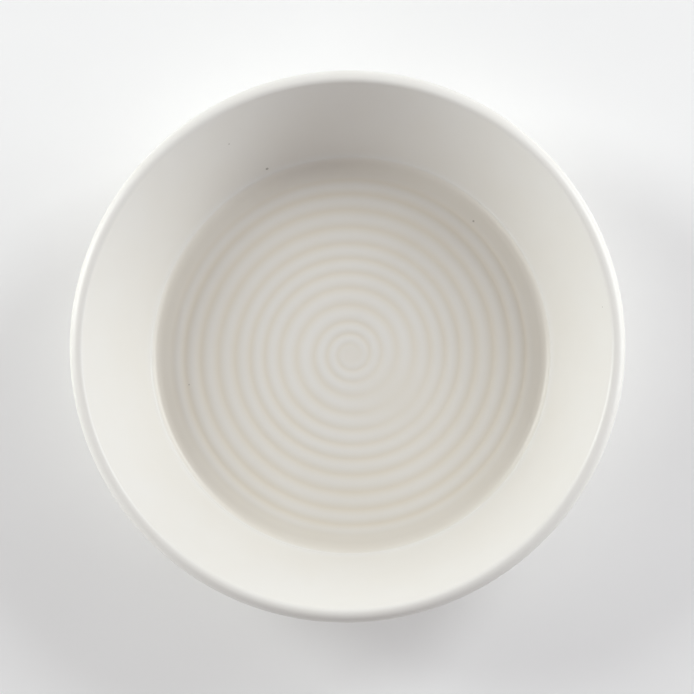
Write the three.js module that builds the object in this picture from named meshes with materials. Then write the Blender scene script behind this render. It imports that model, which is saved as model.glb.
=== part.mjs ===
// A round, shallow dish of glazed stoneware, thrown on a wheel and fired in one piece.
// Three closed solids: the fired clay body, the glaze that coats it inside and out, and the patch
// of glaze inside the foot ring. Millimetres, +Z up, the middle of the standing face at the origin.
import * as THREE from 'three';
import { mergeVertices } from 'three/addons/utils/BufferGeometryUtils.js';

// Driving dimensions of the finished, glazed dish
const RIM_RADIUS = 59;
const DISH_HEIGHT = 27;
const LIP_CREST_RADIUS = 57.1;
const LIP_INNER_ROUND = 1.3;
const WALL_SLOPE = 57;
const LEDGE_RADIUS = 43.6;
const LEDGE_SLOPE = 40;
const LEDGE_WIDTH = 0.15;
const LEDGE_ROUND = 0.4;
const DROP_SLOPE = 66;
const COVE_ROUND = 1.8;
const SWEEP_SLOPE = 16;
const SWEEP_ROUND = 4.2;
const FLOOR_LEVEL = 5.8;
const BASE_SLOPE = 76;
const KNEE_ROUND = 3;
const HEEL_ROUND = 1.2;
const HEEL_RADIUS = 43.3;
const FOOT_RING_WIDTH = 3.6;
const FOOT_EDGE_ROUND = 0.5;
const RECESS_DEPTH = 1.8;
const RECESS_SLOPE = 55;
const GLAZE_LINE = 1.9;

// Glaze thickness, and how far the throwing ridges rise in the clay and in the glaze over them
const GLAZE = 0.3;
const RECESS_GLAZE = 0.25;
const CLAY_RELIEF = 0.25;
const GLAZE_RELIEF = 0.12;

// The throwing spiral: one groove that winds inwards, clockwise seen from above
const GROOVE_START_RADIUS = 40.3;
const GROOVE_PITCH = 3.46;
const GROOVE_TURNS = 12;
const INNER_TURNS_START = 9.3;
const INNER_TIGHTENING = 0.72;
const WANDER = 0.3;
const WANDER_TURNS = 5.45;
const WANDER_START = 0.36;
const FADE_IN_TURNS = 0.8;
const FADE_OUT_TURNS = 1.2;
const CENTRE_RADIUS = 2;

// How finely the round shapes are divided
const COLUMNS = 48;
const ROWS_PER_TURN = 2;
const FIRST_COLUMN_ANGLE = -90;

const radians = (degrees) => THREE.MathUtils.degToRad(degrees);
const lipOuterRound = RIM_RADIUS - LIP_CREST_RADIUS;

// A point of the profile: radius from the axis, and height above the standing face
const at = (radius, height) => new THREE.Vector2(radius, height);

// The point where a surface whose normal leans `lean` degrees from straight up, towards the rim
// when positive, touches a circle
function onCircle(centre, round, lean) {
  const angle = radians(lean);
  return at(centre.x + round * Math.sin(angle), centre.y + round * Math.cos(angle));
}

function arc(centre, round, fromLean, toLean, steps) {
  const points = [];
  for (let step = 0; step <= steps; step += 1) {
    const lean = THREE.MathUtils.lerp(fromLean, toLean, step / steps);
    points.push(onCircle(centre, round, lean));
  }
  return points;
}

// Where a line through `start` that climbs outwards at `slope` degrees has the given radius
function climb(start, slope, radius) {
  return at(radius, start.y + (radius - start.x) * Math.tan(radians(slope)));
}

function crossing(pointA, slopeA, pointB, slopeB) {
  const tanA = Math.tan(radians(slopeA));
  const tanB = Math.tan(radians(slopeB));
  const radius = (pointB.y - pointA.y + tanA * pointA.x - tanB * pointB.x) / (tanA - tanB);
  return climb(pointA, slopeA, radius);
}

// Centres of the rounded stretches. They are the same for clay and glaze: the clay's surface lies
// one skin deeper, so only the radii differ.
const lipInnerCentre = at(LIP_CREST_RADIUS, DISH_HEIGHT - LIP_INNER_ROUND);
const lipOuterCentre = at(LIP_CREST_RADIUS, DISH_HEIGHT - lipOuterRound);
const wallTop = onCircle(lipInnerCentre, LIP_INNER_ROUND, -WALL_SLOPE);
const ledgeOuterEdge = climb(wallTop, WALL_SLOPE, LEDGE_RADIUS);
const ledgeInnerEdge = climb(ledgeOuterEdge, LEDGE_SLOPE, LEDGE_RADIUS - LEDGE_WIDTH);
const ledgeCentre = onCircle(ledgeInnerEdge, -LEDGE_ROUND, -LEDGE_SLOPE);
const dropTop = onCircle(ledgeCentre, LEDGE_ROUND, -DROP_SLOPE);
const sweepCentre = sweepCentreUnder(dropTop);
const coveCentre = tightCentre(sweepCentre);
const outsideWallTop = onCircle(lipOuterCentre, lipOuterRound, 180 - WALL_SLOPE);
const heelCentre = at(HEEL_RADIUS, HEEL_ROUND);
const heelSideTop = onCircle(heelCentre, HEEL_ROUND, 180 - BASE_SLOPE);
const kneeCorner = crossing(outsideWallTop, WALL_SLOPE, heelSideTop, BASE_SLOPE);
const kneeCentre = kneeCentreBeside(kneeCorner);

// The floor first sweeps up in a wide hollow curve, which tightens into the cove under the drop
function tightCentre(wideCentre) {
  return onCircle(wideCentre, COVE_ROUND - SWEEP_ROUND, -SWEEP_SLOPE);
}

// The sweep starts level with the floor, so its centre's height is known. Its radius follows from
// where the drop meets the top of the cove.
function sweepCentreUnder(top) {
  const height = FLOOR_LEVEL + SWEEP_ROUND;
  const coveTop = onCircle(tightCentre(at(0, height)), -COVE_ROUND, -DROP_SLOPE);
  const dropFoot = crossing(top, DROP_SLOPE, at(0, coveTop.y), 0);
  return at(dropFoot.x - coveTop.x, height);
}

// The knee is a hollow rounding outside, between the flared wall and the steeper foot
function kneeCentreBeside(corner) {
  const middleLean = 180 - (WALL_SLOPE + BASE_SLOPE) / 2;
  const reach = KNEE_ROUND / Math.cos(radians((BASE_SLOPE - WALL_SLOPE) / 2));
  return onCircle(corner, reach, middleLean);
}

// The glazed surface from the edge of the floor, up, over the lip and down to the glaze line,
// `skin` below the glaze: 0 gives the glaze's own surface, GLAZE gives the clay under it
function coatedProfile(skin) {
  const heelSide = onCircle(heelCentre, HEEL_ROUND - skin, 180 - BASE_SLOPE);
  const glazeLine = crossing(heelSide, BASE_SLOPE, at(0, GLAZE_LINE), 0);
  return [
    ...arc(sweepCentre, -(SWEEP_ROUND + skin), 0, -SWEEP_SLOPE, 3),
    onCircle(coveCentre, -(COVE_ROUND + skin), -(SWEEP_SLOPE + DROP_SLOPE) / 2),
    onCircle(coveCentre, -(COVE_ROUND + skin), -DROP_SLOPE),
    ...arc(ledgeCentre, LEDGE_ROUND - skin, -DROP_SLOPE, -LEDGE_SLOPE, 2),
    ledgeCrease(skin),
    ...arc(lipInnerCentre, LIP_INNER_ROUND - skin, -WALL_SLOPE, 0, 3),
    ...arc(lipOuterCentre, lipOuterRound - skin, 30, 90, 2),
    ...arc(lipOuterCentre, lipOuterRound - skin, 110, 180 - WALL_SLOPE, 1),
    ...arc(kneeCentre, -(KNEE_ROUND + skin), 180 - WALL_SLOPE, 180 - BASE_SLOPE, 3),
    glazeLine,
  ];
}

// The hollow corner between the ledge and the wall
function ledgeCrease(skin) {
  const onLedge = onCircle(ledgeCentre, LEDGE_ROUND - skin, -LEDGE_SLOPE);
  const onWall = onCircle(lipInnerCentre, LIP_INNER_ROUND - skin, -WALL_SLOPE);
  return crossing(onLedge, LEDGE_SLOPE, onWall, WALL_SLOPE);
}

// The bare clay below the glaze line: round the heel, across the standing face, up into the recess
function footProfile() {
  const footInnerCentre = at(HEEL_RADIUS - FOOT_RING_WIDTH, FOOT_EDGE_ROUND);
  const recessCorner = onCircle(footInnerCentre, FOOT_EDGE_ROUND, 180 + RECESS_SLOPE);
  const ceilingRadius = recessCorner.x
    - (RECESS_DEPTH - recessCorner.y) / Math.tan(radians(RECESS_SLOPE));
  return [
    ...arc(heelCentre, HEEL_ROUND - GLAZE, 180 - BASE_SLOPE, 150, 1),
    at(HEEL_RADIUS, 0),
    at(footInnerCentre.x, 0),
    recessCorner,
    at(ceilingRadius, RECESS_DEPTH),
  ];
}

// Radius of the groove's bottom after so many turns. The potter's hand wandered a little, and the
// last turns lie closer together.
function grooveRadius(turns) {
  const wander = WANDER * Math.sin((2 * Math.PI * (turns - WANDER_START)) / WANDER_TURNS);
  const tightening = INNER_TIGHTENING * Math.max(turns - INNER_TURNS_START, 0);
  return GROOVE_START_RADIUS - GROOVE_PITCH * turns + wander + tightening;
}

// 1 where the ridges stand at full height, falling to 0 at both ends of the spiral
function ridgeStrength(turns) {
  const start = THREE.MathUtils.smoothstep(turns, 0, FADE_IN_TURNS);
  const end = THREE.MathUtils.smoothstep(GROOVE_TURNS - turns, 0, FADE_OUT_TURNS);
  return start * end;
}

// The floor as rows that wind with the groove, from the middle outwards. Row after row lies in the
// groove and on the ridge, and a row that would pass the floor's edge follows the edge instead.
function floorRows(level, relief, edgeRadius) {
  const rows = [];
  const innermostRow = Math.ceil((GROOVE_START_RADIUS / GROOVE_PITCH) * ROWS_PER_TURN);
  const outermostRow = -2 * ROWS_PER_TURN;
  for (let row = innermostRow; row >= outermostRow; row -= 1) {
    rows.push((column) => {
      const turns = (row * COLUMNS + column * ROWS_PER_TURN) / (ROWS_PER_TURN * COLUMNS);
      const radius = THREE.MathUtils.clamp(grooveRadius(turns), CENTRE_RADIUS, edgeRadius);
      const side = row % 2 === 0 ? -1 : 1;
      const onEdge = radius === edgeRadius || radius === CENTRE_RADIUS;
      const rise = onEdge ? 0 : (side * relief * ridgeStrength(turns)) / 2;
      return at(radius, level + rise);
    });
  }
  return rows;
}

// Columns run clockwise seen from above, as the groove does
function placed(row, column) {
  const point = row(column);
  const angle = radians(FIRST_COLUMN_ANGLE - (360 * (column % COLUMNS)) / COLUMNS);
  return new THREE.Vector3(point.x * Math.cos(angle), point.x * Math.sin(angle), point.y);
}

function addTriangle(triangles, a, b, c) {
  if (a.equals(b) || b.equals(c) || c.equals(a)) return;
  triangles.push([a, b, c]);
}

// The triangles between neighbouring rows, facing away from the side that the rows' order turns to
function skinOf(rows) {
  const triangles = [];
  for (let i = 0; i + 1 < rows.length; i += 1) {
    for (let column = 0; column < COLUMNS; column += 1) {
      const near = placed(rows[i], column);
      const nearNext = placed(rows[i], column + 1);
      const far = placed(rows[i + 1], column);
      const farNext = placed(rows[i + 1], column + 1);
      addTriangle(triangles, near, farNext, far);
      addTriangle(triangles, near, nearNext, farNext);
    }
  }
  return triangles;
}

const flipped = (triangles) => triangles.map(([a, b, c]) => [a, c, b]);
const rings = (profile) => profile.map((point) => () => point);

function solid(triangles) {
  const geometry = new THREE.BufferGeometry().setFromPoints(triangles.flat());
  const welded = mergeVertices(geometry, 1e-4);
  welded.computeVertexNormals();
  return welded;
}

function piece(name, geometry, color, roughness) {
  const material = new THREE.MeshStandardMaterial({ color, roughness, metalness: 0 });
  const mesh = new THREE.Mesh(geometry, material);
  mesh.name = name;
  return mesh;
}

const glazeProfile = coatedProfile(0);
const clayProfile = coatedProfile(GLAZE);
const clayFloorLevel = FLOOR_LEVEL - GLAZE;

const claySkin = skinOf([
  ...rings([at(0, clayFloorLevel)]),
  ...floorRows(clayFloorLevel, CLAY_RELIEF, clayProfile[0].x),
  ...rings(clayProfile),
]);

function makeBody() {
  const glazeLine = clayProfile[clayProfile.length - 1];
  const foot = skinOf(rings([glazeLine, ...footProfile(), at(0, RECESS_DEPTH)]));
  return piece('dish_body', solid([...claySkin, ...foot]), 0xd8cebb, 0.85);
}

function makeGlazeCoat() {
  const glazeSkin = skinOf([
    ...rings([at(0, FLOOR_LEVEL)]),
    ...floorRows(FLOOR_LEVEL, GLAZE_RELIEF, glazeProfile[0].x),
    ...rings(glazeProfile),
  ]);
  const lowerEdge = skinOf(rings([glazeProfile.at(-1), clayProfile.at(-1)]));
  return piece('glaze_coat', solid([...glazeSkin, ...lowerEdge, ...flipped(claySkin)]), 0xe6e3da, 0.4);
}

// A thin disc under the recess's ceiling, turned down a little way along the recess's side
function makeRecessGlaze() {
  const [corner, ceilingEdge] = footProfile().slice(-2);
  const clayEdge = at((corner.x + ceilingEdge.x) / 2, (corner.y + ceilingEdge.y) / 2);
  const glazeEdge = at(clayEdge.x - RECESS_GLAZE, clayEdge.y);
  const underside = at(ceilingEdge.x - RECESS_GLAZE, RECESS_DEPTH - RECESS_GLAZE);
  const disc = skinOf(rings([
    at(0, RECESS_DEPTH),
    ceilingEdge,
    clayEdge,
    glazeEdge,
    underside,
    at(0, underside.y),
  ]));
  return piece('recess_glaze', solid(disc), 0xe6e3da, 0.45);
}

const dish = new THREE.Group();
dish.add(makeBody(), makeGlazeCoat(), makeRecessGlaze());

export default dish;
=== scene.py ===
# %% [markdown]
# # A glazed stoneware dish
# The dish is one fired pot: a wheel-thrown clay body under a coat of off-white satin glaze, with a
# bare ring of clay to stand on. Seen from above it is all about small changes of slope: a rolled
# lip, a straight flared wall, a narrow ledge, a hollow cove and a floor with one groove winding
# inwards. So nearly all the work here goes into an exact surface, and the rest into a glaze that
# changes where it lies thick and thin.

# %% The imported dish, which gives every size and place
import math
import bpy
import numpy as np
from mathutils import Matrix, Vector


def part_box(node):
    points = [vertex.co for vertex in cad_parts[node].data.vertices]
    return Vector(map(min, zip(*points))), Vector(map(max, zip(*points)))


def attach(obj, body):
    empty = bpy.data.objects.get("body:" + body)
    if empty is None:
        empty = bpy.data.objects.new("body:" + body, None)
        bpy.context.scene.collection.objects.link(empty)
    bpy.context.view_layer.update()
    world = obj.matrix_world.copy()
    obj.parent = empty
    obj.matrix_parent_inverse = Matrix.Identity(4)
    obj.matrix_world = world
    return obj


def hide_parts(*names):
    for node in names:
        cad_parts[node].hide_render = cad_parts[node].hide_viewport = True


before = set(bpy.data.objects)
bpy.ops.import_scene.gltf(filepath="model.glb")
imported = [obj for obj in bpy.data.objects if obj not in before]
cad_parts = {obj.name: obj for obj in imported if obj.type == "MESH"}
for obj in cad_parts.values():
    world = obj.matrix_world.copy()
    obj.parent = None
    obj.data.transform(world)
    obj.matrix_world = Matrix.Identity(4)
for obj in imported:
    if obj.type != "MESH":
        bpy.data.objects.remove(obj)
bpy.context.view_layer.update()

# %% [markdown]
# ## The shape of the pot
# A pot is turned, so its shape is one line, swung round the axis. The line could be traced as a
# long list of points, but a potter makes it from few moves: a straight pull for the wall, a sponge
# rolled over the lip, a tool run round the corner. Here it is made the same way, from straight
# stretches and arcs that touch each other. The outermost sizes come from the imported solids, and
# the rest are the pot's own dimensions, in metres.

# %% The pot's dimensions
MM = 0.001
coat_low, coat_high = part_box("glaze_coat")
body_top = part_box("dish_body")[1][2]
recess_low, recess_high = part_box("recess_glaze")

rim_radius = coat_high[0]
dish_height = coat_high[2]
glaze_depth = dish_height - body_top
glaze_line_height = coat_low[2]
recess_ceiling = recess_high[2]
recess_glaze_low = recess_low[2]

LIP_CREST_RADIUS = 57.1 * MM
LIP_INNER_ROUND = 1.3 * MM
WALL_SLOPE = 57
LEDGE_RADIUS = 43.6 * MM
LEDGE_SLOPE = 40
LEDGE_WIDTH = 0.15 * MM
LEDGE_ROUND = 0.4 * MM
DROP_SLOPE = 66
COVE_ROUND = 1.8 * MM
SWEEP_SLOPE = 16
SWEEP_ROUND = 4.2 * MM
FLOOR_LEVEL = 5.8 * MM
BASE_SLOPE = 76
KNEE_ROUND = 3.0 * MM
HEEL_ROUND = 1.2 * MM
HEEL_RADIUS = 43.3 * MM
FOOT_RING_WIDTH = 3.6 * MM
FOOT_EDGE_ROUND = 0.5 * MM
RECESS_SLOPE = 55
print(f"rim {2000 * rim_radius:.1f} mm across, {1000 * dish_height:.1f} mm high")
print(f"glaze {1000 * glaze_depth:.2f} mm deep, down to {1000 * glaze_line_height:.1f} mm")

# %% [markdown]
# A profile point is a radius and a height. `lean` is how far the surface's own upright leans from
# straight up: 0 on a level floor, minus on a wall that faces the middle, 90 on the outermost edge
# and 180 underneath. With that one angle an arc can be rolled round any edge, and two arcs meet
# smoothly wherever their leans agree. A hollow corner is the same arc with a minus radius.

# %% Arcs and straights
def on_circle(centre, round_, lean):
    angle = math.radians(lean)
    return (centre[0] + round_ * math.sin(angle), centre[1] + round_ * math.cos(angle))


def arc(centre, round_, lean_from, lean_to, steps):
    return [on_circle(centre, round_, lean) for lean in np.linspace(lean_from, lean_to, steps + 1)]


def straight(start, end, steps):
    """The points between start and end, without either."""
    return [tuple(np.array(start) + (np.array(end) - start) * k / steps) for k in range(1, steps)]


def thrown(start, end, steps, pitch, depth):
    """A straight with shallow throwing rings, `depth` deep, that fade out at both ends."""
    start, end = np.array(start), np.array(end)
    along = (end - start) / np.linalg.norm(end - start)
    share = np.arange(1, steps) / steps
    turns = share * np.linalg.norm(end - start) / pitch
    hollow = -depth * np.sin(math.pi * share) * (1 - np.cos(2 * math.pi * turns)) / 2
    outwards = np.array([-along[1], along[0]])
    return [tuple(start + (end - start) * s + outwards * h) for s, h in zip(share, hollow)]


def climb(start, slope, radius):
    """Where a line through start that climbs outwards at `slope` degrees has this radius."""
    return (radius, start[1] + (radius - start[0]) * math.tan(math.radians(slope)))


def crossing(point_a, slope_a, point_b, slope_b):
    tan_a, tan_b = math.tan(math.radians(slope_a)), math.tan(math.radians(slope_b))
    radius = (point_b[1] - point_a[1] + tan_a * point_a[0] - tan_b * point_b[0]) / (tan_a - tan_b)
    return climb(point_a, slope_a, radius)


# %% [markdown]
# Each rounded stretch needs a centre. They could be typed in as numbers, but then no size could
# change without all of them changing. So they follow from one another: the wall hangs from the
# lip, the ledge sits on the wall's line, and the floor's sweep is slid along until its top meets
# the drop under the ledge. The foot's side and the outer wall meet at the knee.

# %% Where the rounded stretches have their centres
lip_outer_round = rim_radius - LIP_CREST_RADIUS
lip_inner_centre = (LIP_CREST_RADIUS, dish_height - LIP_INNER_ROUND)
lip_outer_centre = (LIP_CREST_RADIUS, dish_height - lip_outer_round)
wall_top = on_circle(lip_inner_centre, LIP_INNER_ROUND, -WALL_SLOPE)
ledge_edge = climb(wall_top, WALL_SLOPE, LEDGE_RADIUS)
ledge_inner = climb(ledge_edge, LEDGE_SLOPE, LEDGE_RADIUS - LEDGE_WIDTH)
ledge_centre = on_circle(ledge_inner, -LEDGE_ROUND, -LEDGE_SLOPE)
drop_top = on_circle(ledge_centre, LEDGE_ROUND, -DROP_SLOPE)
sweep_height = FLOOR_LEVEL + SWEEP_ROUND
cove_reach = on_circle(on_circle((0, sweep_height), COVE_ROUND - SWEEP_ROUND, -SWEEP_SLOPE),
                       -COVE_ROUND, -DROP_SLOPE)
drop_foot = crossing(drop_top, DROP_SLOPE, (0, cove_reach[1]), 0)
sweep_centre = (drop_foot[0] - cove_reach[0], sweep_height)
cove_centre = on_circle(sweep_centre, COVE_ROUND - SWEEP_ROUND, -SWEEP_SLOPE)
outer_wall_top = on_circle(lip_outer_centre, lip_outer_round, 180 - WALL_SLOPE)
heel_centre = (HEEL_RADIUS, HEEL_ROUND)
heel_side_top = on_circle(heel_centre, HEEL_ROUND, 180 - BASE_SLOPE)
knee_corner = crossing(outer_wall_top, WALL_SLOPE, heel_side_top, BASE_SLOPE)
knee_reach = KNEE_ROUND / math.cos(math.radians((BASE_SLOPE - WALL_SLOPE) / 2))
knee_centre = on_circle(knee_corner, knee_reach, 180 - (WALL_SLOPE + BASE_SLOPE) / 2)
print(f"ledge {1000 * (ledge_edge[1] - FLOOR_LEVEL):.2f} mm above the floor,",
      f"floor level out to radius {1000 * sweep_centre[0]:.2f} mm")

# %% [markdown]
# Glaze runs into every hollow corner and rounds it. Where the ledge meets the wall, the corner is
# replaced by a short curve that leaves the ledge and joins the wall smoothly.

# %% A hollow corner filled by glaze
CREASE_REACH = 0.15 * MM


def softened(before, corner, after):
    before, corner, after = np.array(before), np.array(corner), np.array(after)
    start = corner + (before - corner) / np.linalg.norm(before - corner) * CREASE_REACH
    end = corner + (after - corner) / np.linalg.norm(after - corner) * CREASE_REACH
    return [tuple(start * (1 - t) ** 2 + corner * 2 * t * (1 - t) + end * t ** 2)
            for t in np.linspace(0, 1, 6)]


# %% [markdown]
# The fingers leave faint rings on the outside of a thrown wall. They are cut into the profile
# itself, less than a tenth of a millimetre deep, so that light rolls over them from every side.

# %% The whole coated line, at any depth under the glaze
RING_PITCH = 4.2 * MM
RING_DEPTH = 0.07 * MM


def coated_profile(skin):
    """From the floor's edge, up, over the lip and down to the glaze line, `skin` under the glaze."""
    sweep = arc(sweep_centre, -(SWEEP_ROUND + skin), 0, -SWEEP_SLOPE, 10)
    cove = sweep + arc(cove_centre, -(COVE_ROUND + skin), -SWEEP_SLOPE, -DROP_SLOPE, 8)[1:]
    ledge = arc(ledge_centre, LEDGE_ROUND - skin, -DROP_SLOPE, -LEDGE_SLOPE, 10)
    lip_inside = arc(lip_inner_centre, LIP_INNER_ROUND - skin, -WALL_SLOPE, 0, 10)
    lip_outside = (arc(lip_outer_centre, lip_outer_round - skin, 0, 90, 18)[1:]
                   + arc(lip_outer_centre, lip_outer_round - skin, 90, 180 - WALL_SLOPE, 7)[1:])
    knee = arc(knee_centre, -(KNEE_ROUND + skin), 180 - WALL_SLOPE, 180 - BASE_SLOPE, 6)
    heel_side = on_circle(heel_centre, HEEL_ROUND - skin, 180 - BASE_SLOPE)
    glaze_line = crossing(heel_side, BASE_SLOPE, (0, glaze_line_height), 0)
    corner = crossing(ledge[-1], LEDGE_SLOPE, lip_inside[0], WALL_SLOPE)
    crease = softened(ledge[-1], corner, lip_inside[0])
    return (cove + straight(cove[-1], ledge[0], 4) + ledge + crease
            + straight(crease[-1], lip_inside[0], 16) + lip_inside + lip_outside
            + thrown(lip_outside[-1], knee[0], 72, RING_PITCH, RING_DEPTH) + knee
            + straight(knee[-1], glaze_line, 4) + [glaze_line])


print(len(coated_profile(0)), "points on the glazed line")

# %% [markdown]
# ## The groove in the floor
# While the pot turned, a fingertip was drawn slowly towards the middle. It left one groove that
# winds inwards like a record's, with a soft ridge between its turns. Rings would be simpler, but
# they never meet, and the eye sees at once that a real floor is one spiral. The hand wandered, so
# the turns are not quite evenly spaced, and near the middle one patch was almost smoothed away.

# %% Where the groove runs and how deep it is
GROOVE_START_RADIUS = 40.3 * MM
GROOVE_PITCH = 3.46 * MM
GROOVE_TURNS = 12
INNER_TURNS_START = 9.3
INNER_TIGHTENING = 0.72 * MM
WANDER = 0.30 * MM
WANDER_TURNS = 5.45
WANDER_START = 0.36
RELIEF = 0.12 * MM
RIDGE_BREADTH = 1.4
FADE_IN_TURNS = 0.8
FADE_OUT_TURNS = 1.2
SMOOTHED_PLACE = (9.7 * MM, -8.7 * MM)
SMOOTHED_REACH = 8.5 * MM
SMOOTHED_SHARE = 0.85
CENTRE_RADIUS = 0.6 * MM


def smooth_step(value, low, high):
    t = np.clip((value - low) / (high - low), 0, 1)
    return t * t * (3 - 2 * t)


def groove_radius(turns):
    wander = WANDER * np.sin(2 * math.pi * (turns - WANDER_START) / WANDER_TURNS)
    tightening = INNER_TIGHTENING * np.maximum(turns - INNER_TURNS_START, 0)
    return GROOVE_START_RADIUS - GROOVE_PITCH * turns + wander + tightening


def ridge_strength(turns, x, y):
    ends = (smooth_step(turns, 0, FADE_IN_TURNS)
            * smooth_step(GROOVE_TURNS - turns, 0, FADE_OUT_TURNS))
    away = np.hypot(x - SMOOTHED_PLACE[0], y - SMOOTHED_PLACE[1]) / SMOOTHED_REACH
    return ends * (1 - SMOOTHED_SHARE * np.exp(-away ** 2))


def ridge_height(turns):
    """0 at the bottom of the groove, 1 on the broad back of the ridge."""
    return np.abs(np.sin(math.pi * turns)) ** RIDGE_BREADTH


print("groove bottom at radius, mm:", np.round(groove_radius(np.arange(12)) / MM, 1))

# %% [markdown]
# A spiral doesn't fit a mesh of rings: every groove would cut across the faces at a slant and look
# like a saw. So the floor's rows wind with the groove. Each row moves in steadily, and after a full
# turn it ends where the row one groove further in begins. Rows that would leave the floor follow
# its edge instead.

# %% Rows that wind with the groove
COLUMNS = 256
ROWS_PER_TURN = 14
column = np.arange(COLUMNS + 1)
column_angle = -math.pi / 2 - 2 * math.pi * (column % COLUMNS) / COLUMNS


def ring_rows(profile):
    """Plain rings: (rows, columns, 2) of radius and height."""
    return np.repeat(np.array(profile, float)[:, None, :], COLUMNS + 1, axis=1)


def floor_rows(level, relief, edge_radius):
    """Rows that wind with the groove, from the middle outwards."""
    inmost = math.ceil((GROOVE_TURNS + 1) * ROWS_PER_TURN)
    row = np.arange(inmost, -2 * ROWS_PER_TURN, -1)[:, None]
    turns = (row * COLUMNS + column[None, :] * ROWS_PER_TURN) / (ROWS_PER_TURN * COLUMNS)
    radius = np.clip(groove_radius(turns), CENTRE_RADIUS, edge_radius)
    strength = ridge_strength(turns, radius * np.cos(column_angle), radius * np.sin(column_angle))
    rise = np.broadcast_to(ridge_height(row / ROWS_PER_TURN) - 0.5, turns.shape)
    return np.stack([radius, level + relief * strength * rise], axis=-1)


print("rows in the floor:", len(floor_rows(FLOOR_LEVEL, RELIEF, sweep_centre[0])))

# %% [markdown]
# Neighbouring rows are joined by four-cornered faces, column by column. Where rows follow the same
# edge, or meet at the axis, their points fall together. Those are welded into one, and a face that
# has lost a corner stays as a triangle or goes.

# %% Weaving rows into a closed surface
WELD = 0.0005 * MM


def weave(rows, flipped=False):
    """Points and faces of the surface between neighbouring rows, facing away from the clay."""
    radius, height = rows[..., 0], rows[..., 1]
    points = np.stack([radius * np.cos(column_angle), radius * np.sin(column_angle), height], -1)
    number = np.arange(points.shape[0] * points.shape[1]).reshape(points.shape[:2])
    near, near_next = number[:-1, :-1], number[:-1, 1:]
    far, far_next = number[1:, :-1], number[1:, 1:]
    corners = [near, far, far_next, near_next] if flipped else [near, near_next, far_next, far]
    return points.reshape(-1, 3), np.stack(corners, -1).reshape(-1, 4)


def welded(parts):
    """One closed mesh from several woven surfaces: (points, faces)."""
    points, faces, count = [], [], 0
    for part_points, part_faces in parts:
        points.append(part_points)
        faces.append(part_faces + count)
        count += len(part_points)
    points, faces = np.concatenate(points), np.concatenate(faces)
    _, first, same = np.unique(np.round(points / WELD).astype(np.int64), axis=0,
                               return_index=True, return_inverse=True)
    faces = same.reshape(-1)[faces]
    kept = []
    for face in faces.tolist():
        corners = [c for k, c in enumerate(face) if c != face[k - 1]]
        if len(set(corners)) == len(corners) and len(corners) > 2:
            kept.append(corners)
    return points[first], kept


# %% [markdown]
# Every piece is made in the same way: a mesh with smooth shading and one finish, which rides on the
# dish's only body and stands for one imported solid. A solid thing has exactly two faces at each of
# its edges, so edges with any other number are counted, and there should be none.

# %% Making a piece
def make_piece(name, points, faces, finish, node):
    mesh = bpy.data.meshes.new(name)
    mesh.from_pydata(points.tolist(), [], faces)
    mesh.polygons.foreach_set("use_smooth", np.ones(len(mesh.polygons), bool))
    mesh.materials.append(finish)
    piece = bpy.data.objects.new(name, mesh)
    bpy.context.scene.collection.objects.link(piece)
    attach(piece, "root")
    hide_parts(node)
    edges = {}
    for face in faces:
        for k, corner in enumerate(face):
            pair = tuple(sorted((corner, face[k - 1])))
            edges[pair] = edges.get(pair, 0) + 1
    faulty_edges = sum(count != 2 for count in edges.values())
    print(f"{name}: {len(points)} points, {len(faces)} faces, {faulty_edges} faulty edges")
    return piece


# %% [markdown]
# ## Materials as expressions
# A material in Blender is a web of nodes. Written out node by node it is long and hard to read, so
# a `Wire` wraps one output socket and knows arithmetic: `1 - mask` adds a Math node and gives back
# its output. Everything else comes from `Finish.node`, which sets a node's settings first, then its
# sockets.

# %% Wires and finishes
class Wire:
    """One output socket of a finish, with Python's operators."""

    def __init__(self, finish, socket):
        self.finish = finish
        self.socket = socket

    def maths(self, operation, *values, clamp=False):
        settings = {"operation": operation, "use_clamp": clamp}
        return self.finish.node("ShaderNodeMath", settings, dict(enumerate(values)))

    def __add__(self, other):
        return self.maths("ADD", self, other)

    def __radd__(self, other):
        return self.maths("ADD", other, self)

    def __sub__(self, other):
        return self.maths("SUBTRACT", self, other)

    def __rsub__(self, other):
        return self.maths("SUBTRACT", other, self)

    def __mul__(self, other):
        return self.maths("MULTIPLY", self, other)

    def __rmul__(self, other):
        return self.maths("MULTIPLY", other, self)

    def ramp(self, low, high):
        """0 below low, 1 above high, smooth between."""
        settings = {"interpolation_type": "SMOOTHSTEP"}
        sockets = {"Value": self, "From Min": low, "From Max": high}
        return self.finish.node("ShaderNodeMapRange", settings, sockets)

    def clamped(self):
        return self.maths("ADD", self, 0.0, clamp=True)


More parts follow.
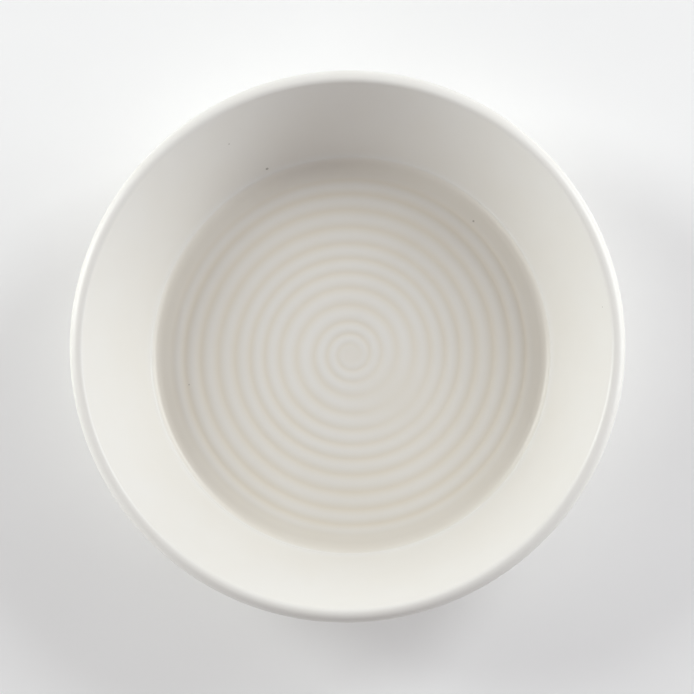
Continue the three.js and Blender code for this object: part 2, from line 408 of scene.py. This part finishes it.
class Finish:
    """A material built from expressions."""

    def __init__(self, name):
        self.material = bpy.data.materials.new(name)
        self.material.use_nodes = True
        self.tree = self.material.node_tree
        self.shader = self.tree.nodes["Principled BSDF"]

    def node(self, kind, settings=None, sockets=None, out=0):
        made = self.tree.nodes.new(kind)
        for name, value in (settings or {}).items():
            setattr(made, name, value)
        for name, value in (sockets or {}).items():
            self.plug(made.inputs[name], value)
        return Wire(self, made.outputs[out])

    def plug(self, socket, value):
        if isinstance(value, Wire):
            self.tree.links.new(value.socket, socket)
        else:
            socket.default_value = value

    def mix(self, share, first, second):
        """From colour first to colour second."""
        factor, colour_a, colour_b, colour_out = 0, 6, 7, 2
        sockets = {factor: share, colour_a: first, colour_b: second}
        return self.node("ShaderNodeMix", {"data_type": "RGBA"}, sockets, out=colour_out)

    def place(self):
        return self.node("ShaderNodeTexCoord", out="Object")

    def noise(self, size, detail=2.0, roughness=0.5):
        """Soft random values about 0.5, in lumps about `size` metres across."""
        sockets = {"Vector": self.place(), "Scale": 1 / size, "Detail": detail,
                   "Roughness": roughness}
        return self.node("ShaderNodeTexNoise", None, sockets, out="Fac")

    def specks(self, spacing, reach, kept):
        """1 in small round specks, about one to a cell of `spacing` metres, if its lot is drawn."""
        cells = self.node("ShaderNodeTexVoronoi", {"feature": "F1"},
                          {"Vector": self.place(), "Scale": 1 / spacing}, out="Distance")
        drawn = Wire(self, cells.socket.node.outputs["Color"])
        lot = self.node("ShaderNodeSeparateColor", None, {"Color": drawn}, out="Red")
        size = lot.ramp(1 - kept, 1)
        return (size * reach - cells * spacing).ramp(0, 0.3 * reach)

    def bump(self, height, depth):
        """A normal that follows height, which is 0 to 1, over `depth` metres."""
        sockets = {"Height": height, "Distance": depth, "Strength": 1.0}
        return self.node("ShaderNodeBump", None, sockets)

    def set(self, **sockets):
        for name, value in sockets.items():
            self.plug(self.shader.inputs[name.replace("_", " ")], value)


# %% [markdown]
# ## The glaze
# A satin white glaze is a glass full of tiny crystals. It is whitest where it is thin, over edges,
# and turns creamy where it ran together: in the groove, in the cove and on the floor. How thick it
# lies is known from the shape, so it is stored at each point of the mesh, and the material reads it
# from there. That follows the true groove, which a pattern in the material could only guess at.
# The whitened band along the ledge is stored the same way, and it is a painted highlight.

# %% The glaze's finish
THIN_GLAZE = (0.825, 0.812, 0.778, 1)
THICK_GLAZE = (0.77, 0.717, 0.615, 1)
SPECK = (0.16, 0.13, 0.10, 1)
MOTTLE_SIZE = 9 * MM
MOTTLE_IN_COLOUR = 0.25
MOTTLE_IN_GLOSS = 0.06
GLAZE_ROUGHNESS = 0.36
FINE_SPECK_STRENGTH = 0.45
BROAD_SPECK_STRENGTH = 0.5


def glaze_finish(name):
    finish = Finish(name)
    # Pooled glaze, with a painted highlight where the value drops along the ledge
    pooled = finish.node("ShaderNodeAttribute", {"attribute_name": "pooled"}, out="Fac")
    cloud = finish.noise(MOTTLE_SIZE, detail=3.0)
    share = (pooled + (cloud - 0.5) * MOTTLE_IN_COLOUR).clamped()
    colour = finish.mix(share, THIN_GLAZE, THICK_GLAZE)
    fine_specks = finish.specks(spacing=3.2 * MM, reach=0.22 * MM, kept=0.10)
    broad_specks = finish.specks(spacing=9 * MM, reach=0.42 * MM, kept=0.12)
    specks = fine_specks * FINE_SPECK_STRENGTH + broad_specks * BROAD_SPECK_STRENGTH
    finish.set(Base_Color=finish.mix(specks.clamped(), colour, SPECK))
    finish.set(Roughness=GLAZE_ROUGHNESS + (cloud - 0.5) * MOTTLE_IN_GLOSS)
    finish.set(Normal=finish.bump(finish.noise(1.6 * MM, detail=2.0), depth=0.004 * MM))
    return finish.material


# %% [markdown]
# The thickness could be painted by hand, but it follows plain rules. Glaze gathers in hollows, so
# the groove and the cove hold most. Along the ledge the value is pulled down to thin glaze, which
# whitens a narrow band there as a painted highlight. Outside it runs down the wall and gathers a
# little above the foot.

# %% How thick the glaze lies, with a painted highlight along the ledge
LEDGE_HIGHLIGHT_REACH = 0.4 * MM
POOLED_OUTSIDE_TO = 15 * MM


def pooled_and_ledge_highlight_inside(radius, height):
    groove = np.clip((FLOOR_LEVEL + RELIEF / 2 - height) / RELIEF, 0, 1)
    outwards = smooth_step(radius, 0, sweep_centre[0])
    on_floor = 0.1 + 0.25 * outwards + 0.6 * groove
    up_cove = 0.65 - 0.55 * smooth_step(height, FLOOR_LEVEL, ledge_edge[1])
    up_wall = 0.2 - 0.15 * smooth_step(height, ledge_edge[1], dish_height)
    wall = np.where(height < ledge_edge[1], up_cove, up_wall)
    # Painted highlight: a thin band along the ledge is set to the whiter colour of thin glaze
    painted_ledge_highlight = np.exp(-((height - ledge_inner[1]) / LEDGE_HIGHLIGHT_REACH) ** 2)
    return np.where(radius <= sweep_centre[0] + WELD, on_floor, wall * (1 - painted_ledge_highlight))


def pooled_outside(height):
    """Glaze runs down the outside and gathers a little above the foot."""
    return 0.35 - 0.3 * smooth_step(height, glaze_line_height, POOLED_OUTSIDE_TO)


def pooled_and_ledge_highlight_at(points):
    """0 where the glaze is thin and on the ledge's painted highlight, 1 where it has run together.
    """
    radius = np.hypot(points[:, 0], points[:, 1])
    height = points[:, 2]
    inside_wall = ledge_edge[0] + (height - ledge_edge[1]) / math.tan(math.radians(WALL_SLOPE))
    outside = radius > inside_wall + lip_outer_round / 2
    return np.where(outside, pooled_outside(height), pooled_and_ledge_highlight_inside(radius, height))


ends = np.array([glaze_line_height, dish_height])
print("pooled outside, at the glaze line and the rim:", np.round(pooled_outside(ends), 2))

# %% [markdown]
# ## The coat of glaze as a piece
# The glaze is a thin closed shell, as on the real pot: its own surface, a rounded end at the glaze
# line, and the face where it is fused to the clay. A material alone could show the colour, but not
# the wavy, rolled edge of glass where a sponge wiped the foot. Only the outer face is ever seen, so
# that one is fine, and the hidden face is coarse.

# %% Making the coat
HIDDEN_STEP = 6


def coarse(profile):
    """Every sixth point of a line that the glaze hides, and always its last."""
    return profile[:-1:HIDDEN_STEP] + profile[-1:]


coat_profile = coated_profile(0)
clay_profile = coarse(coated_profile(glaze_depth))
clay_floor = FLOOR_LEVEL - glaze_depth
LINE_WAVE = 0.16 * MM
LINE_SAG = 0.12 * MM


def waved(rows):
    """Rows slid up or down the foot's side, so that the glaze ends on a hand-wiped line."""
    wave = 0.5 * np.sin(3 * column_angle + 1) + 0.3 * np.sin(7 * column_angle + 2)
    wave = wave + 0.2 * np.sin(12 * column_angle)
    slope = math.radians(BASE_SLOPE)
    slide = LINE_WAVE * wave[:, None] * np.array([math.cos(slope), math.sin(slope)])
    return rows + slide


def glaze_end():
    """The rolled edge between the coat's outside and the clay."""
    outer, inner = np.array(coat_profile[-1]), np.array(clay_profile[-1])
    share = np.linspace(0, 1, 6)[:, None]
    sag = np.array([0, LINE_SAG]) * 4 * share * (1 - share)
    return waved(ring_rows(outer + (inner - outer) * share - sag))


line_rows = glaze_end()
coat_surface = np.concatenate([
    ring_rows([(0, FLOOR_LEVEL)]),
    floor_rows(FLOOR_LEVEL, RELIEF, coat_profile[0][0]),
    ring_rows(coat_profile[:-1]),
    line_rows,
])
clay_surface = np.concatenate([ring_rows([(0, clay_floor)] + clay_profile[:-1]), line_rows[-1:]])
coat_parts = [weave(coat_surface), weave(clay_surface, flipped=True)]
coat_points, coat_faces = welded(coat_parts)
glaze_coat = make_piece("glaze", coat_points, coat_faces, glaze_finish("satin_glaze"),
                        "glaze_coat")
# Pooled glaze at each point, with the painted highlight along the ledge
pooled = glaze_coat.data.attributes.new("pooled", "FLOAT", "POINT")
pooled.data.foreach_set("value", pooled_and_ledge_highlight_at(coat_points).astype(np.float32))

# %% [markdown]
# ## The bare foot
# Glaze would weld the pot to the kiln shelf, so the ring it stands on is wiped clean. There the
# clay shows: buff, dry and finely grainy, smoother on the face that has been rubbed down.

# %% The clay's finish
CLAY = (0.62, 0.52, 0.40, 1)
CLAY_PALE = (0.72, 0.64, 0.53, 1)


def clay_finish(name):
    finish = Finish(name)
    grain = finish.noise(0.35 * MM, detail=4.0, roughness=0.65)
    patch = finish.noise(7 * MM, detail=2.0)
    share = (0.6 * grain + 0.6 * patch - 0.1).clamped()
    finish.set(Base_Color=finish.mix(share, CLAY, CLAY_PALE), Roughness=0.78 + 0.2 * (grain - 0.5))
    finish.set(Normal=finish.bump(grain, depth=0.05 * MM))
    return finish.material


# %% [markdown]
# The clay body is closed too. Its upper side is the coarse line under the glaze, and its foot is
# rounded at the heel, worn a little where it stands, and hollowed by the recess.

# %% Making the clay body
WORN_EDGE = 0.4 * MM
WORN_RISE = 0.06 * MM


def foot_profile():
    inner_centre = (HEEL_RADIUS - FOOT_RING_WIDTH, FOOT_EDGE_ROUND)
    recess_corner = on_circle(inner_centre, FOOT_EDGE_ROUND, 180 + RECESS_SLOPE)
    ceiling_radius = recess_corner[0] - ((recess_ceiling - recess_corner[1])
                                         / math.tan(math.radians(RECESS_SLOPE)))
    heel = arc(heel_centre, HEEL_ROUND - glaze_depth, 180 - BASE_SLOPE, 140, 5)
    return heel + [
        (HEEL_RADIUS - WORN_EDGE / 2, WORN_RISE),
        (HEEL_RADIUS - WORN_EDGE, 0),
        (inner_centre[0], 0),
        recess_corner,
        (ceiling_radius, recess_ceiling),
    ]


foot = foot_profile()
body_rows = ring_rows([(0, clay_floor)] + clay_profile + foot + [(0, recess_ceiling)])
body_points, body_faces = welded([weave(body_rows)])
make_piece("clay_body", body_points, body_faces, clay_finish("bare_clay"), "dish_body")

# %% [markdown]
# The recess inside the foot ring doesn't touch the kiln shelf, so it is glazed as well. That patch
# is a thin disc under the ceiling, turned down a little way along the recess's side.

# %% The glaze in the recess
recess_corner, ceiling_edge = foot[-2], foot[-1]
clay_edge = tuple((np.array(recess_corner) + ceiling_edge) / 2)
recess_depth = recess_ceiling - recess_glaze_low
patch_rows = ring_rows([(0, recess_ceiling), ceiling_edge, clay_edge,
                        (clay_edge[0] - recess_depth, clay_edge[1]),
                        (ceiling_edge[0] - recess_depth, recess_glaze_low),
                        (0, recess_glaze_low)])
patch_points, patch_faces = welded([weave(patch_rows)])
make_piece("recess_patch", patch_points, patch_faces, glaze_finish("recess_satin_glaze"),
           "recess_glaze")

# %% [markdown]
# ## The studio
# The dish stands on a plain white table. Soft boxes stand to its left and its right, a little
# towards the back, some low and some higher. One large lamp would be simpler, but then the wall
# would lose the slow change from bright sides to a shaded back. The room adds a little light from
# everywhere else.

# %% The table
TABLE_HALF = 1.5


def white_table():
    finish = Finish("white_table")
    shade = finish.noise(40 * MM, 2.0)
    finish.set(Base_Color=finish.mix(shade, (0.90, 0.90, 0.90, 1), (0.93, 0.93, 0.93, 1)),
               Roughness=0.7)
    mesh = bpy.data.meshes.new("table_top")
    corners = [(x * TABLE_HALF, y * TABLE_HALF, 0) for x, y in ((-1, -1), (1, -1), (1, 1), (-1, 1))]
    mesh.from_pydata(corners, [], [(0, 1, 2, 3)])
    mesh.materials.append(finish.material)
    table = bpy.data.objects.new("table_top", mesh)
    bpy.context.scene.collection.objects.link(table)
    return table


white_table()

# %% [markdown]
# Every box is a square lamp of one size at one distance, aimed at the dish, and given by where it
# stands round the dish and how high. The left ones are a little greener and the right ones a little
# cooler than plain white, as lamps in one room often are.

# %% The lights
BOX_DISTANCE = 0.9
BOX_SIZE = 0.3
LEFT_TINT = (0.96, 1, 0.975)
RIGHT_TINT = (0.94, 0.98, 0.98)


def soft_box(name, azimuth, elevation, power, tint):
    turn, rise = math.radians(azimuth), math.radians(elevation)
    away = Vector((math.cos(rise) * math.cos(turn), math.cos(rise) * math.sin(turn),
                   math.sin(rise)))
    light = bpy.data.lights.new(name, "AREA")
    light.shape = "SQUARE"
    light.size = BOX_SIZE
    light.energy = power
    light.color = tint
    lamp = bpy.data.objects.new(name, light)
    lamp.location = away * BOX_DISTANCE
    lamp.rotation_euler = away.to_track_quat("Z", "Y").to_euler()
    bpy.context.scene.collection.objects.link(lamp)
    print(f"{name}: {power} W, {azimuth} degrees round, {elevation} degrees up")


# Direction and height in degrees, and power in watts
soft_box("left_low", 160, 12, 2.5, LEFT_TINT)
soft_box("left_high", 157, 34, 2.7, LEFT_TINT)
soft_box("left_front", 210, 22, 0.8, LEFT_TINT)
soft_box("right_low", 2, 12, 1.5, RIGHT_TINT)
soft_box("right_middle", 20, 22, 2.0, RIGHT_TINT)
soft_box("right_high", 38, 34, 2.8, RIGHT_TINT)

world = bpy.data.worlds.new("studio")
bpy.context.scene.world = world
world.use_nodes = True
room = world.node_tree.nodes["Background"]
room.inputs["Color"].default_value = (1, 0.94, 0.97, 1)
room.inputs["Strength"].default_value = 0.34
bpy.context.scene.view_settings.view_transform = "Standard"

# %% [markdown]
# ## The camera
# A long lens looks almost straight down on the dish, from a little in front of it and to its right.
# From there the wall at the back shows a touch more than the wall at the front.

# %% Placing the camera
CAMERA_TILT = 7.45
CAMERA_SIDE = (0.39, -0.92)
CAMERA_DISTANCE = 0.82
LENS = 200.5
SENSOR_WIDTH = 36
AIM_BESIDE_AXIS = (0.1 * MM, -0.6 * MM)
aim = Vector((*AIM_BESIDE_AXIS, dish_height - lip_outer_round))
tilt = math.radians(CAMERA_TILT)
towards = Vector((CAMERA_SIDE[0] * math.sin(tilt), CAMERA_SIDE[1] * math.sin(tilt), math.cos(tilt)))
towards.normalize()
camera = bpy.data.objects.new("camera", bpy.data.cameras.new("camera"))
camera.data.lens = LENS
camera.data.sensor_width = SENSOR_WIDTH
right = Vector((0, 1, 0)).cross(towards).normalized()
up = towards.cross(right)
turn = Matrix((right, up, towards)).transposed()
camera.matrix_world = Matrix.Translation(aim + towards * CAMERA_DISTANCE) @ turn.to_4x4()
bpy.context.scene.collection.objects.link(camera)
bpy.context.scene.camera = camera
